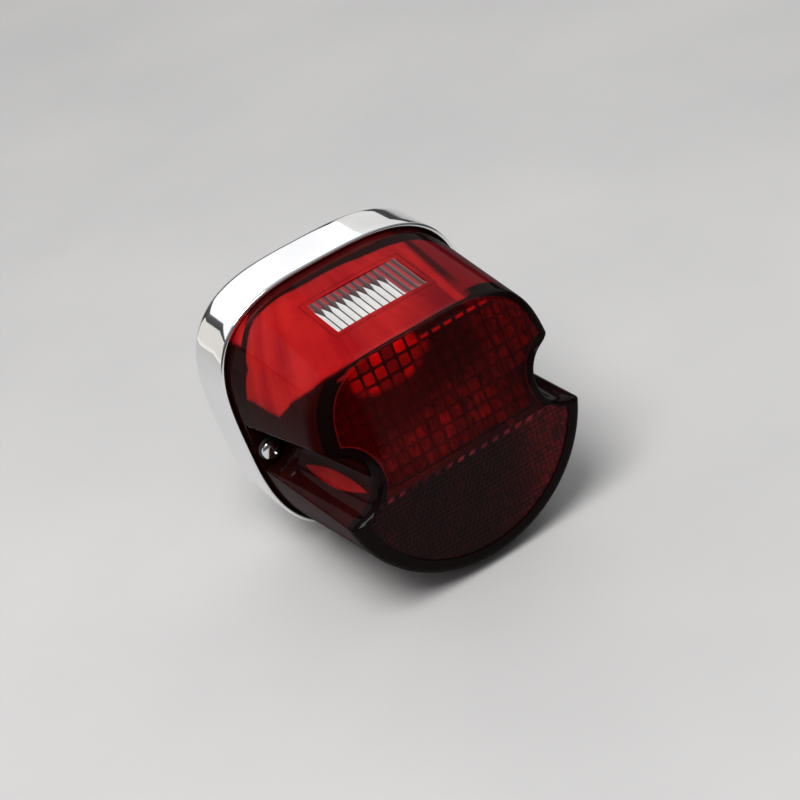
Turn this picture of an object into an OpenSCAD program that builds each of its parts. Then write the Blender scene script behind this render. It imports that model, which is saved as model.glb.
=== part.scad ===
// Motorcycle tail light for a rear fender: chrome tub base, deep red lens with a clear licence-plate
// window in its top and a half-round reflex panel low on its face, twin-filament bayonet bulb inside.
// The fender's face is the plane Y = 0, the lens faces -Y, +X is right and +Z is up.
// Each piece is drawn lying on its back, outward along its own +Z, and stand() sets it upright.

/* [Base] */
// Half the width of the outline at mid height
half_w = 57; // [54:1:60]
// Half the height of the outline
half_h = 58; // [56:1:61]
// Squareness of the outline's corners
corner_power = 3.1; // [2.8:0.1:3.6]
// Share by which the outline is wider at its top than at its middle
taper = 0.07; // [0.05:0.01:0.1]
// Depth of the chrome base
base_d = 25; // [24:1:28]
// Thickness of the base's wall and back plate
wall = 2; // [1.8:0.1:2.4]
// Thickness of the pad between base and fender
pad_t = 2; // [1.5:0.5:3]

/* [Lens] */
// How far the face stands in front of the base's rim
lens_d = 76; // [72:1:82]
// Thickness of the lens's walls
lens_t = 2.5; // [2:0.1:3]
// Radius of the round lower edge of the face
face_r = 50; // [48:0.5:51]
// How far the lens bulges past the face's edge, over the same depth
edge_roll = 4.5; // [3:0.5:5]
// Half the width of the slanted upper face
brow_w = 46; // [44:1:48]
// Height of the slanted upper face
brow_h = 46; // [42:0.5:48]
// How far the slanted face's top edge stands back
brow_back = 11.5; // [9:0.5:15]
// Width of the licence-plate window
window_w = 41; // [38:1:48]
// Length of the licence-plate window, down the slope
window_h = 23; // [18:0.5:25]

/* [Screws and studs] */
// Distance of each lens screw from the middle
screw_x = 49; // [48:0.5:49.5]
// Height of the lens screws above the middle
screw_y = -4; // [-6:0.5:0]
// Radius of the lens screws' shank
screw_r = 2.4; // [2:0.1:2.5]
// Distance between the fender studs
stud_gap = 56; // [44:1:60]
// Radius of the fender studs
stud_r = 3; // [2.5:0.5:4]
// How far the studs stand out behind the pad
stud_out = 18; // [12:1:25]

/* [Bulb] */
// Height of the bulb above the middle of the base
bulb_y = 22; // [20:1:24]
// Radius of the bulb's brass cap
cap_r = 7.6; // [7.5:0.05:7.65]
// Radius of the glass at its widest
glass_r = 13.2; // [12:0.2:13.4]

/* [Hidden] */
$fn = 48;
HULL_FN = 32;
CUT = 1;                                  // how far a cutting shape runs past what it cuts

// Levels along the light's own axis, counted outward from the fender
plate_top = pad_t + wall;                 // front of the back plate
rim = pad_t + base_d;                     // front edge of the chrome base
gasket_t = 2;
skirt = rim - 3.5;                        // back edge of the lens, down inside the rim
ledge_top = skirt - gasket_t;
dish_z = plate_top + 10.5;                // back of the reflector dish
dish_t = 1;
dish_in = 9;                              // how far the dish's edge stays inside the outline
dish_edge = 6;                            // height of the dish's turned-up edge
face = rim + lens_d;                      // the upright lower face

// Lens
skirt_gap = 0.4;                          // round the lens, inside the chrome rim
slope = atan((half_h - wall - skirt_gap - brow_h) / (lens_d - brow_back));   // fall of the lens's top
window_n = 30.5;                          // middle of the window, outward from the rim
window_t = 2.6;
window_fit = 0.2;                         // gap round the window, and how far it lies below the surface
backing_t = 1;
channel_z = rim + 4;                      // floor of each screw channel
channel_r0 = 10;                          // channel radius at its floor
channel_r1 = 14;                          // channel radius at the face
channel_at0 = [screw_x + 4, screw_y + 2.5];
channel_at1 = [face_r + 1.5, 5.5];
brow_power = 4.3;                         // squareness of the slanted face's corners
panel_top = 5;                            // how far the reflex panel starts below the middle
panel_t = 1.2;

// Lens screws
fit = 0.05;                               // running clearance of a screw in its insert and its washer
boss_r = 5.5;
screw_bore = screw_r + 0.2;
insert_bore = screw_r + fit;
insert_len = 12;
insert_r = 3.6;
washer_t = 1;
washer_r = 4.8;
head_r = 4.2;
head_t = 3;
screw_end = 8;                            // how far each lens screw reaches below the ledge
stud_collar = 1.2;                        // how far a stud's collar in pad and plate stands out past its shank

// Bulb and socket
socket_in = cap_r + 0.3;
socket_out = socket_in + 0.7;
socket_floor = 0.8;
socket_z = plate_top + 1;
socket_top = rim + 4;
carrier_z = plate_top + 9;
carrier_t = 4;
button_t = 0.8;
button_r = 1.8;
contact_x = 3.2;                          // each contact's distance from the bulb's axis
contact_r = 0.8;
tip_t = 1;
tip_r = 1.2;
cap_z = carrier_z + carrier_t + button_t + tip_t;
cap_len = 16.5;
glass_z = cap_z + cap_len;
glass_mid = glass_z + 17;
glass_t = 0.8;
glass_foot = glass_z - 6;                 // where the glass starts, inside the cap
post_x = 2.1;                             // half the distance between a filament's two posts
post_r = 0.35;
running_y = 1.8;                          // the running filament lies this far above the brake filament
brake_at = glass_z + 20;
running_at = glass_z + 15;
push = 2.5;                               // how far the bulb is pushed in to free it
twist = 18;                               // how far it is then turned, in degrees
pin_r = 1;
pin_out = 1.3;
pin_levels = [cap_z + 9.5, cap_z + 6.5];  // the two pins sit at different heights

// Places on the back plate
grommet_y = -20;
grommet_r = 8;
harness_r = 5;
block_y = -41;
dish_feet = [[-30, -32], [30, -32], [0, 45]];
foot_r = 4;
foot_screw_r = 1.5;
foot_head_r = 2.8;
foot_head_t = 1.8;
ground_at = [34, -16];
ground_foot = 2;                          // height of the ground tab's foot
blade_xs = [-8, 0, 8];
ledge_w = 3;                              // width of the ledge that the lens's gasket lies on
ledge_t = 2.5;

function spow(v, e) = sign(v) * pow(abs(v), e);

// The base's outline seen from behind, grown by d: a rounded square that is wider at its top
function outline(d) = [
    for (a = [0 : 3.75 : 356.25])
        let (up = spow(sin(a), 2 / corner_power))
        [(half_w + d) * spow(cos(a), 2 / corner_power) * (1 + taper * up), (half_h + d) * up]
];

// The slanted upper face in its own plane: half of a rounded square, w to each side and h high
function brow(w, h) = [
    for (a = [0 : 5 : 180])
        [w * spow(cos(a), 2 / brow_power), h * spow(sin(a), 2 / brow_power)]
];

module stand() {
    rotate([90, 0, 0]) children();
}

module slab(d, z, t) {
    translate([0, 0, z]) linear_extrude(t) polygon(outline(d));
}

module ring(outer, inner, z, t) {
    difference() {
        slab(outer, z, t);
        slab(inner, z - CUT, t + 2 * CUT);
    }
}

module rod(r, z, len, at = [0, 0]) {
    translate([at[0], at[1], z]) cylinder(r = r, h = len);
}

module at_screws() {
    for (side = [-1, 1]) translate([side * screw_x, screw_y, 0]) children();
}

module at_studs() {
    for (side = [-1, 1]) translate([side * stud_gap / 2, 0, 0]) children();
}

module at_bulb() {
    translate([0, bulb_y, 0]) children();
}

// A wedge of a disc between two angles, for windows in a tube's wall
module sector(a0, a1, r, z, t) {
    translate([0, 0, z]) linear_extrude(t)
        polygon([[0, 0], for (a = [a0 : (a1 - a0) / 6 : a1 + 0.01]) r * [cos(a), sin(a)]]);
}

// ---------------------------------------------------------------- base

module base_shell() {
    color("gainsboro") stand() difference() {
        union() {
            ring(0, -wall, pad_t, base_d);
            slab(-wall / 2, pad_t, wall);
            ring(-wall / 2, -wall - ledge_w, ledge_top - ledge_t, ledge_t);
            at_screws() rod(boss_r, plate_top - wall / 2, ledge_top - plate_top + wall / 2);
            for (p = dish_feet) rod(foot_r, plate_top - wall / 2, dish_z - plate_top + wall / 2, p);
            rod(foot_r, plate_top - wall / 2, ground_foot + wall / 2, ground_at);
        }
        at_screws() rod(insert_r, ledge_top - insert_len, insert_len + CUT);
        at_screws() rod(screw_r + 0.3, plate_top, ledge_top);
        at_studs() rod(stud_r + stud_collar, -CUT, plate_top + 2 * CUT);
        rod(grommet_r, -CUT, plate_top + 2 * CUT, [0, grommet_y]);
        for (p = dish_feet) rod(foot_screw_r, plate_top + 2, dish_z, p);
        rod(foot_screw_r, plate_top, 4, ground_at);
    }
}

module fender_gasket() {
    color([0.08, 0.08, 0.08]) stand() difference() {
        slab(-2, 0, pad_t);
        at_studs() rod(stud_r + stud_collar, -CUT, pad_t + 2 * CUT);
        rod(grommet_r + 3, -CUT, pad_t + 2 * CUT, [0, grommet_y]);
    }
}

module mount_studs() {
    color("silver") stand() at_studs() {
        rod(stud_r, -stud_out, stud_out + CUT);
        rod(stud_r + stud_collar, 0, plate_top);
        rod(stud_r * 2, plate_top, 3);
    }
}

module screw_inserts() {
    color("goldenrod") stand() at_screws() difference() {
        rod(insert_r, ledge_top - insert_len, insert_len);
        rod(insert_bore, ledge_top - insert_len - CUT, insert_len + 2 * CUT);
    }
}

module harness_grommet() {
    color([0.1, 0.1, 0.1]) stand() translate([0, grommet_y, 0]) difference() {
        union() {
            rod(grommet_r, pad_t, wall);
            rod(grommet_r + 2, plate_top, 2);
            rod(grommet_r + 2, 0.2, pad_t - 0.2);
        }
        rod(harness_r, -CUT, plate_top + 4);
    }
}

module terminal_block() {
    color("saddlebrown") stand() difference() {
        translate([-13, block_y - 4, plate_top]) cube([26, 8, 8]);
        for (x = blade_xs) translate([x - 3.2, block_y - 0.4, plate_top + 2]) cube([6.4, 0.8, 7]);
    }
}

module terminal_blades() {
    color("goldenrod") stand() for (x = blade_xs)
        translate([x - 3.15, block_y - 0.35, plate_top + 2]) cube([6.3, 0.7, 7.4]);
}

module ground_tab() {
    color("goldenrod") stand() difference() {
        translate([ground_at[0] - 4, ground_at[1] - 10, plate_top + ground_foot]) cube([8, 14, 0.8]);
        rod(foot_screw_r, plate_top, 4, ground_at);
    }
}

module pan_screw(r, head, len, t) {
    difference() {
        union() {
            rod(r, -len, len);
            rod(head, 0, t);
        }
        for (turn = [0, 90]) rotate([0, 0, turn])
            translate([-head * 0.6, -0.5, t - 1.2]) cube([head * 1.2, 1, 2]);
    }
}

module ground_screw() {
    color("silver") stand() translate([ground_at[0], ground_at[1], plate_top + ground_foot + 0.8])
        pan_screw(foot_screw_r, foot_head_r, ground_foot + 0.8, foot_head_t);
}

module lens_gasket() {
    color([0.12, 0.12, 0.12]) stand() difference() {
        intersection() {
            slab(-wall - 0.2, ledge_top, gasket_t);
            union() {
                ring(0, -wall - ledge_w, ledge_top, gasket_t);
                at_screws() rod(boss_r, ledge_top, gasket_t);
            }
        }
        at_screws() rod(screw_bore, ledge_top - CUT, gasket_t + 2 * CUT);
    }
}

// ---------------------------------------------------------------- reflector dish and socket

module reflector_dish() {
    color("white") stand() difference() {
        union() {
            slab(-dish_in, dish_z, dish_t);
            ring(-dish_in, -dish_in - dish_t, dish_z, dish_edge);
        }
        at_screws() rod(boss_r + 1.5, dish_z - CUT, dish_edge + 2 * CUT);
        at_bulb() rod(socket_out, dish_z - CUT, dish_t + 2 * CUT);
        for (p = dish_feet) rod(foot_screw_r, dish_z - CUT, dish_t + 2 * CUT, p);
    }
}

module dish_screws() {
    color("silver") stand() for (p = dish_feet)
        translate([p[0], p[1], dish_z + dish_t])
            pan_screw(foot_screw_r, foot_head_r, dish_t + 6, foot_head_t);
}

module socket_shell() {
    color("lightgray") stand() at_bulb() difference() {
        union() {
            rod(socket_out, socket_z, socket_top - socket_z);
            rod(socket_out + 3, dish_z + dish_t, 1);
        }
        rod(socket_in, socket_z + socket_floor, socket_top);
        rod(3, socket_z - CUT, 3);
        for (i = [0, 1]) rotate([0, 0, 180 * i]) {
            sector(-14, twist + 14, socket_out + 0.4, pin_levels[i] - push - 1.6, push + 3.2);
            sector(twist - 12, twist + 12, socket_out + 0.4, pin_levels[i], socket_top);
        }
    }
}

// Spring coil of square wire, drawn as turns that follow a helix in short straight steps
module contact_spring() {
    turns = 5;
    length = carrier_z - socket_z - socket_floor;
    step = 30;
    wire = 0.45;
    coil_r = 5.6;
    color("silver") stand() at_bulb() translate([0, 0, socket_z + socket_floor + wire])
        for (a = [0 : step : 360 * turns - step])
            rotate([0, 0, a]) translate([coil_r, 0, (length - 2 * wire) * a / (360 * turns)])
                rotate([90 - atan((length - 2 * wire) / (turns * 2 * PI * coil_r)), 0, 0])
                    cylinder(r = wire, h = 2 * coil_r * tan(step / 2) + 0.1, center = true);
}

module contact_carrier() {
    color("saddlebrown") stand() at_bulb() difference() {
        rod(socket_in - 0.2, carrier_z, carrier_t);
        for (side = [-1, 1]) rod(contact_r, carrier_z - CUT, carrier_t + 2 * CUT, [side * contact_x, 0]);
    }
}

module contact_buttons() {
    color("goldenrod") stand() at_bulb() for (side = [-1, 1]) {
        rod(contact_r, carrier_z, carrier_t, [side * contact_x, 0]);
        rod(button_r, carrier_z + carrier_t, button_t, [side * contact_x, 0]);
    }
}

// ---------------------------------------------------------------- bulb

module bulb_cap() {
    color("goldenrod") stand() at_bulb() difference() {
        rod(cap_r, cap_z, cap_len);
        rod(cap_r - 0.6, cap_z + 2, cap_len);
        for (side = [-1, 1]) rod(tip_r, cap_z - CUT, 2 + 2 * CUT, [side * contact_x, 0]);
    }
}

module bulb_pins() {
    color("goldenrod") stand() at_bulb() for (i = [0, 1])
        rotate([0, 0, 180 * i]) translate([cap_r, 0, pin_levels[i]]) rotate([0, 90, 0])
            cylinder(r = pin_r, h = pin_out);
}

module bulb_tips() {
    color("silver") stand() at_bulb() for (side = [-1, 1])
        rod(tip_r, cap_z - tip_t, tip_t + 2, [side * contact_x, 0]);
}

// Half of the glass's outline, r by z, shrunk by d: a round top on a neck that narrows into the cap
module glass_half(d) {
    neck = cap_r - 0.8 - d;
    intersection() {
        translate([0, glass_foot + d]) square([glass_r + CUT, 60]);
        union() {
            translate([0, glass_mid]) circle(r = glass_r - d);
            polygon([[0, glass_foot], [neck, glass_foot], [neck, glass_z + 1],
                     [(glass_r - d) * cos(30), glass_mid - (glass_r - d) * sin(30)], [0, glass_mid]]);
        }
    }
}

module bulb_glass() {
    color("lightcyan", 0.4) stand() at_bulb() rotate_extrude() difference() {
        glass_half(0);
        glass_half(glass_t);
    }
}

module bulb_stem() {
    color("lightcyan", 0.6) stand() at_bulb() {
        rod(4.6, glass_foot + glass_t, 3);
        rod(2.6, glass_z - 3, 11);
    }
}

module filament_posts() {
    color("silver") stand() at_bulb() {
        for (side = [-1, 1]) {
            rod(post_r, glass_z + 8, 12, [side * post_x, 0]);
            rod(post_r, glass_z + 8, 7, [side * post_x, running_y]);
        }
    }
}

module filament(z, y) {
    translate([-post_x - 0.6, y, z + 0.4]) rotate([0, 90, 0]) cylinder(r = 0.4, h = 2 * post_x + 1.2);
}

module brake_filament() {
    color("gray") stand() at_bulb() filament(brake_at, 0);
}

module running_filament() {
    color("gray") stand() at_bulb() filament(running_at, running_y);
}

// ---------------------------------------------------------------- lens

// The slanted and upright faces as a thin plate, grown by g sideways, at a depth back behind the face
module face_plate(g, back) {
    tilt = atan(brow_back / brow_h);
    translate([0, 0, face - back - CUT]) {
        rotate([-tilt, 0, 0]) linear_extrude(CUT)
            polygon(brow(brow_w + g, brow_h / cos(tilt) + min(g, 0.8)));
        intersection() {
            cylinder(r = face_r + g, h = CUT, $fn = 2 * HULL_FN);
            translate([-2 * face_r, -2 * face_r, 0]) cube([4 * face_r, 2 * face_r, CUT]);
        }
    }
}

// The lens's solid shape, shrunk by d: from the outline at the rim to the rolled edge of its face
module lens_form(d) {
    hull() {
        slab(-wall - skirt_gap - d, skirt, rim - skirt);
        face_plate(edge_roll - d, edge_roll + d);
        face_plate(-d, d);
    }
}

// A screw channel down one side of the lens, grown by d: round, and wider and higher at the face
module channel(side, d) {
    hull() {
        translate([side * channel_at0[0], channel_at0[1], channel_z - d])
            cylinder(r = channel_r0 + d, h = 0.1, $fn = HULL_FN);
        translate([side * channel_at1[0], channel_at1[1], face + CUT])
            cylinder(r = channel_r1 + d, h = 0.1, $fn = HULL_FN);
    }
}

// Places its children on the lens's sloping top, with their own +Z out of the surface
module on_slope() {
    translate([0, half_h - wall - skirt_gap - window_n * tan(slope), rim + window_n])
        rotate([slope - 90, 0, 0]) children();
}

module window_slab(grow, z, t) {
    on_slope() translate([-window_w / 2 - grow, -window_h / 2 - grow, z])
        cube([window_w + 2 * grow, window_h + 2 * grow, t]);
}

// Part of a disc below a line on the face, clear of the screw channels by gap
module reflex_form(r, top, gap, z, t) {
    difference() {
        rod(r, z, t);
        translate([-r, -top, z - CUT]) cube([2 * r, 2 * r, t + 2 * CUT]);
        for (side = [-1, 1])
            rod(channel_r1 + gap, z - CUT, t + 2 * CUT, [side * channel_at1[0], channel_at1[1]]);
    }
}

module lens_shell() {
    color("darkred", 0.7) stand() difference() {
        lens_form(0);
        for (side = [-1, 1]) channel(side, 0);
        difference() {
            union() {
                lens_form(lens_t);
                slab(-wall - skirt_gap - lens_t, skirt - CUT, CUT + 0.5);
            }
            for (side = [-1, 1]) channel(side, lens_t);
            at_screws() rod(boss_r, skirt, channel_z - skirt);
        }
        at_screws() rod(screw_bore, skirt - CUT, channel_z);
        window_slab(window_fit, -window_t - 4, window_t + 8);
        reflex_form(face_r - 2, panel_top, 2, face - panel_t, panel_t + CUT);
    }
}

module plate_window() {
    color("white", 0.6) stand() intersection() {
        lens_form(window_fit);
        window_slab(0, -window_t - 0.6, window_t + 4);
    }
}

module reflex_panel() {
    color("firebrick") stand() reflex_form(face_r - 2, panel_top, 2, face - panel_t, panel_t);
}

module reflex_backing() {
    color("dimgray") stand()
        reflex_form(face_r - 5, panel_top + 3, lens_t + 2, face - lens_t - backing_t, backing_t);
}

module screw_washer(side) {
    color([0.12, 0.12, 0.12]) stand() translate([side * screw_x, screw_y, 0]) difference() {
        rod(washer_r, channel_z, washer_t);
        rod(screw_r + fit, channel_z - CUT, washer_t + 2 * CUT);
    }
}

module left_screw_washer() {
    screw_washer(-1);
}

module right_screw_washer() {
    screw_washer(1);
}

module lens_screw(side) {
    color("silver") stand() translate([side * screw_x, screw_y, channel_z + washer_t])
        pan_screw(screw_r, head_r, channel_z + washer_t - ledge_top + screw_end, head_t);
}

module left_lens_screw() {
    lens_screw(-1);
}

module right_lens_screw() {
    lens_screw(1);
}

base_shell();
fender_gasket();
mount_studs();
screw_inserts();
harness_grommet();
terminal_block();
terminal_blades();
ground_tab();
ground_screw();
lens_gasket();
reflector_dish();
dish_screws();
socket_shell();
contact_spring();
contact_carrier();
contact_buttons();
bulb_cap();
bulb_pins();
bulb_tips();
bulb_glass();
bulb_stem();
filament_posts();
brake_filament();
running_filament();
lens_shell();
plate_window();
reflex_panel();
reflex_backing();
left_screw_washer();
right_screw_washer();
left_lens_screw();
right_lens_screw();
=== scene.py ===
"""Motorcycle tail light: the looks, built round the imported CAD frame.

Shapes are drawn on a "bench", as in the CAD: x to the right, u upward, n outward from the fender, in
millimetres. row() turns a bench point into the shared frame: metres, -Y out of the lens, +Z up."""

import math
import random

import bmesh
import bpy
import numpy as np
from mathutils import Matrix, Vector


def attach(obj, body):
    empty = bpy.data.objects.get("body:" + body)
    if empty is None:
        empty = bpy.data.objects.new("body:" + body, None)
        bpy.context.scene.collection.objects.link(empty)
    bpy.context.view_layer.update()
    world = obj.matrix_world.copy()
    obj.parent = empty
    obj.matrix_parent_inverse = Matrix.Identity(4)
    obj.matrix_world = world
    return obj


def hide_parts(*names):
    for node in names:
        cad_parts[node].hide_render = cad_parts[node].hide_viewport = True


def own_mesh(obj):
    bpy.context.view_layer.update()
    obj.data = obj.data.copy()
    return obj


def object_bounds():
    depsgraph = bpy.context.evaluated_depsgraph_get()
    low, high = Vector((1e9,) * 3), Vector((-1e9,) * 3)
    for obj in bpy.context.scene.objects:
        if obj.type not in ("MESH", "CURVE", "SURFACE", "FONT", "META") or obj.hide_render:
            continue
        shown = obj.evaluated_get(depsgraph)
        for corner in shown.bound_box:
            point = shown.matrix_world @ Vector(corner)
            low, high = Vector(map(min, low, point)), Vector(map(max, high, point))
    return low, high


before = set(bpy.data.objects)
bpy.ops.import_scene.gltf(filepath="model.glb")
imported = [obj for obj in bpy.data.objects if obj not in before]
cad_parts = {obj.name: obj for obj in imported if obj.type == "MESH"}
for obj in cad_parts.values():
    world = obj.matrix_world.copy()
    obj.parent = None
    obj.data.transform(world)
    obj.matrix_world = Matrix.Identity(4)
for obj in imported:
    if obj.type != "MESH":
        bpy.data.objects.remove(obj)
cad_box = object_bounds()
random.seed(7)

# ------------------------------------------------------------------ sizes, as in the CAD
MM = 0.001
HALF_W, HALF_H, POWER, TAPER = 57.0, 58.0, 3.1, 0.07       # the base's outline
WALL, PAD_T, RIM = 2.0, 2.0, 27.0
PLATE_TOP = PAD_T + WALL
SKIRT = RIM - 3.5                                           # where the lens's skirt starts
GASKET_T = 2.0
LEDGE = SKIRT - GASKET_T
DISH_Z, DISH_T = PLATE_TOP + 10.5, 1.0
LENS_DEPTH, LENS_T = 76.0, 2.5                              # from the base's rim to the face
FACE = RIM + LENS_DEPTH
SKIRT_IN = WALL + 0.4
FACE_R, ROLL, BROW_W, BROW_H, BROW_BACK, BROW_POWER = 50.0, 4.5, 46.0, 46.0, 11.5, 4.3
BROW_ROLL = 0.8
CHANNEL_Z = RIM + 4.0
CHANNEL_0, CHANNEL_R0 = (53.0, -1.5), 10.0                  # the screw channel's axis and radius, at its floor
CHANNEL_1, CHANNEL_R1 = (51.5, 5.5), 14.0                   # and at the face
WINDOW_W, WINDOW_H, WINDOW_N, WINDOW_T = 41.0, 23.0, 30.5, 2.6
SLOPE = math.atan((HALF_H - SKIRT_IN - BROW_H) / (LENS_DEPTH - BROW_BACK))
SCREWS = {"left": (-49.0, -4.0), "right": (49.0, -4.0)}
SCREW_R, SCREW_HEAD_R, SCREW_HEAD_T, SCREW_END = 2.4, 4.2, 3.0, 8.0
SCREW_BORE, BOSS_R = SCREW_R + 0.2, 5.5
INSERT_R, INSERT_LEN = 3.6, 12.0
WASHER_R, WASHER_T = 4.8, 1.0
STUDS = [(-28.0, 0.0), (28.0, 0.0)]
STUD_R, STUD_OUT, COLLAR_R = 3.0, 18.0, 4.2
BULB_U, CAP_R, GLASS_R, GLASS_T = 22.0, 7.6, 13.2, 0.8
BULB_AT = (0.0, BULB_U)
CONTACTS = [(-3.2, BULB_U), (3.2, BULB_U)]
GROMMET_U, GROMMET_R, HARNESS_R = -20.0, 8.0, 5.0
BLOCK_U = -41.0
FEET = [(-30.0, -32.0), (30.0, -32.0), (0.0, 45.0)]
FOOT_R, FOOT_SCREW_R, FOOT_HEAD_R, FOOT_HEAD_T = 4.0, 1.5, 2.8, 1.8
GROUND = (34.0, -16.0)
SOCKET_OUT, SOCKET_IN, SOCKET_Z = 8.6, 7.9, PLATE_TOP + 1
CARRIER_Z, CARRIER_T = PLATE_TOP + 9, 4.0
CAP_Z = CARRIER_Z + CARRIER_T + 0.8 + 1
GLASS_Z = CAP_Z + 16.5
GLASS_MID = GLASS_Z + 17
RUNNING_U = 1.8                              # the running filament stands this far above the brake filament
PANEL_TOP, PANEL_T, PANEL_R = 5.0, 1.2, FACE_R - 2
FLUTES = 13
PRISM, PRISM_LOW = 5.4, -2.2                 # size of a prism cell, and the level the cells count from
PRISM_W, PRISM_H, PRISM_NOTCH = BROW_W + 1.4, BROW_H + 0.3, CHANNEL_R1 + 3.0    # the prism field
REFLEX_CELL = 2.2
STEPS = 360                                  # points round the base's outline


def row(p):
    """A bench point, in millimetres, in the shared frame."""
    return (p[0] * MM, -p[2] * MM, p[1] * MM)


# ------------------------------------------------------------------ mesh helpers
def add_object(name, data):
    """A new object in the scene."""
    obj = bpy.data.objects.new(name, data)
    bpy.context.scene.collection.objects.link(obj)
    return obj


def make(name, verts, faces, angle=35):
    """A mesh object from bench points, smooth except where its faces meet at more than angle degrees."""
    mesh = bpy.data.meshes.new(name)
    mesh.from_pydata([row(v) for v in verts], [], faces)
    bm = bmesh.new()
    bm.from_mesh(mesh)
    bmesh.ops.remove_doubles(bm, verts=bm.verts, dist=1e-7)
    bmesh.ops.recalc_face_normals(bm, faces=bm.faces)
    bm.to_mesh(mesh)
    bm.free()
    obj = add_object(name, mesh)
    smooth(obj, angle)
    return obj


def smooth(obj, angle):
    """Smooth shading, except where faces meet at more than angle degrees."""
    obj.data.shade_smooth()
    obj.data.set_sharp_from_angle(angle=math.radians(angle))


def loft(rows, first=True, last=True):
    """Faces between equal loops of bench points, with the first and last loops closed by a cap."""
    n = len(rows[0])
    verts = [tuple(p) for r in rows for p in r]
    faces = []
    for i in range(len(rows) - 1):
        a, b = i * n, (i + 1) * n
        faces += [(a + k, a + (k + 1) % n, b + (k + 1) % n, b + k) for k in range(n)]
    if first:
        faces.append(tuple(range(n))[::-1])
    if last:
        faces.append(tuple(range((len(rows) - 1) * n, len(rows) * n)))
    return verts, faces


def turned(profile, at=(0.0, 0.0), steps=64, closed=False, bend=None):
    """A lathe shape about the bench's n axis, from (r, n) points; r of 0 is a point on the axis.
    bend(angle, r, n) may return another r, for threads and knurls."""
    verts, faces, loops = [], [], []
    for r, n in profile:
        start = len(verts)
        for k in range(steps if r > 1e-6 else 1):
            a = 2 * math.pi * k / steps
            rr = bend(a, r, n) if bend and r > 1e-6 else r
            verts.append((at[0] + rr * math.cos(a), at[1] + rr * math.sin(a), n))
        loops.append(list(range(start, len(verts))))
    pairs = list(zip(loops, loops[1:])) + ([(loops[-1], loops[0])] if closed else [])
    for lo, hi in pairs:
        for k in range(steps):
            k2 = (k + 1) % steps
            if len(lo) == 1:
                faces.append((lo[0], hi[k2], hi[k]))
            elif len(hi) == 1:
                faces.append((lo[k], lo[k2], hi[0]))
            else:
                faces.append((lo[k], lo[k2], hi[k2], hi[k]))
    return verts, faces


def joined(*parts):
    """Several (verts, faces) parts as one."""
    verts, faces = [], []
    for v, f in parts:
        off = len(verts)
        verts += list(v)
        faces += [tuple(i + off for i in face) for face in f]
    return verts, faces


def moved(part, to=(0, 0, 0), turn=None):
    """A part turned by a matrix and then moved, in bench axes."""
    verts, faces = part
    if turn is not None:
        verts = [tuple(turn @ Vector(v)) for v in verts]
    return [tuple(np.add(v, to)) for v in verts], faces


def block(x0, x1, u0, u1, n0, n1, r=0.0, segments=3):
    """A box with its edges rounded by r, as bench verts and faces."""
    bm = bmesh.new()
    bmesh.ops.create_cube(bm, size=1)
    for v in bm.verts:
        v.co = (x0 + (v.co.x + 0.5) * (x1 - x0), u0 + (v.co.y + 0.5) * (u1 - u0),
                n0 + (v.co.z + 0.5) * (n1 - n0))
    if r:
        bmesh.ops.bevel(bm, geom=bm.edges[:], offset=r, segments=segments, profile=0.5, affect="EDGES")
    out = [tuple(v.co) for v in bm.verts], [tuple(v.index for v in f.verts) for f in bm.faces]
    bm.free()
    return out


def rod(r, n0, n1, at=(0, 0), edge=0.0, steps=48):
    """A cylinder from level n0 to n1, its edges bevelled by edge."""
    side = [(r - edge, n0), (r, n0 + edge), (r, n1 - edge), (r - edge, n1)] if edge else [(r, n0), (r, n1)]
    return turned([(0, n0), *side, (0, n1)], at, steps)


def tube(path, r, steps=10):
    """A closed round wire along bench points."""
    pts = [Vector(p) for p in path]
    turns = [2 * math.pi * k / steps for k in range(steps)]
    rings, up = [], None
    for i, p in enumerate(pts):
        d = (pts[min(i + 1, len(pts) - 1)] - pts[max(i - 1, 0)]).normalized()
        up = d.orthogonal().normalized() if up is None else up
        up = (up - d * up.dot(d)).normalized()
        side = d.cross(up)
        rings.append([p + up * (r * math.cos(a)) + side * (r * math.sin(a)) for a in turns])
    return loft(rings)


def boolean(obj, parts, how="DIFFERENCE", angle=35, solver="MANIFOLD"):
    """Cuts bench shapes from obj, or adds them to it."""
    other = make("cutter", *joined(*parts))
    m = obj.modifiers.new("boolean", "BOOLEAN")
    m.object, m.operation, m.solver = other, how, solver
    bpy.context.view_layer.update()
    graph = bpy.context.evaluated_depsgraph_get()
    mesh = bpy.data.meshes.new_from_object(obj.evaluated_get(graph))
    obj.modifiers.clear()
    old, obj.data = obj.data, mesh
    bpy.data.meshes.remove(old)
    bpy.data.objects.remove(other)
    if not mesh.polygons:
        raise RuntimeError(f"{obj.name}: boolean left nothing")
    smooth(obj, angle)
    return obj


def place(obj, body, material, *nodes, slot=None):
    """Finishes a piece: its material, the body it rides on and the CAD nodes it stands for.
    The slot argument is not used."""
    obj.data.materials.clear()
    obj.data.materials.append(material)
    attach(obj, body)
    if nodes:
        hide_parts(*nodes)
    return obj


# ------------------------------------------------------------------ materials
def operation(op, swapped=False):
    """A method of Value that adds one math node."""
    def method(self, other=0.0):
        return self.nodes.math(op, other, self) if swapped else self.nodes.math(op, self, other)
    return method


class Value:
    """A number or colour in a node tree; arithmetic on it adds math nodes."""

    def __init__(self, nodes, socket):
        self.nodes, self.socket = nodes, socket

    __add__, __sub__, __rsub__ = operation("ADD"), operation("SUBTRACT"), operation("SUBTRACT", True)
    __mul__, __truediv__, __pow__ = operation("MULTIPLY"), operation("DIVIDE"), operation("POWER")
    __abs__, fract, floor = operation("ABSOLUTE"), operation("FRACT"), operation("FLOOR")
    at_least, at_most, root = operation("MAXIMUM"), operation("MINIMUM"), operation("SQRT")


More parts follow.
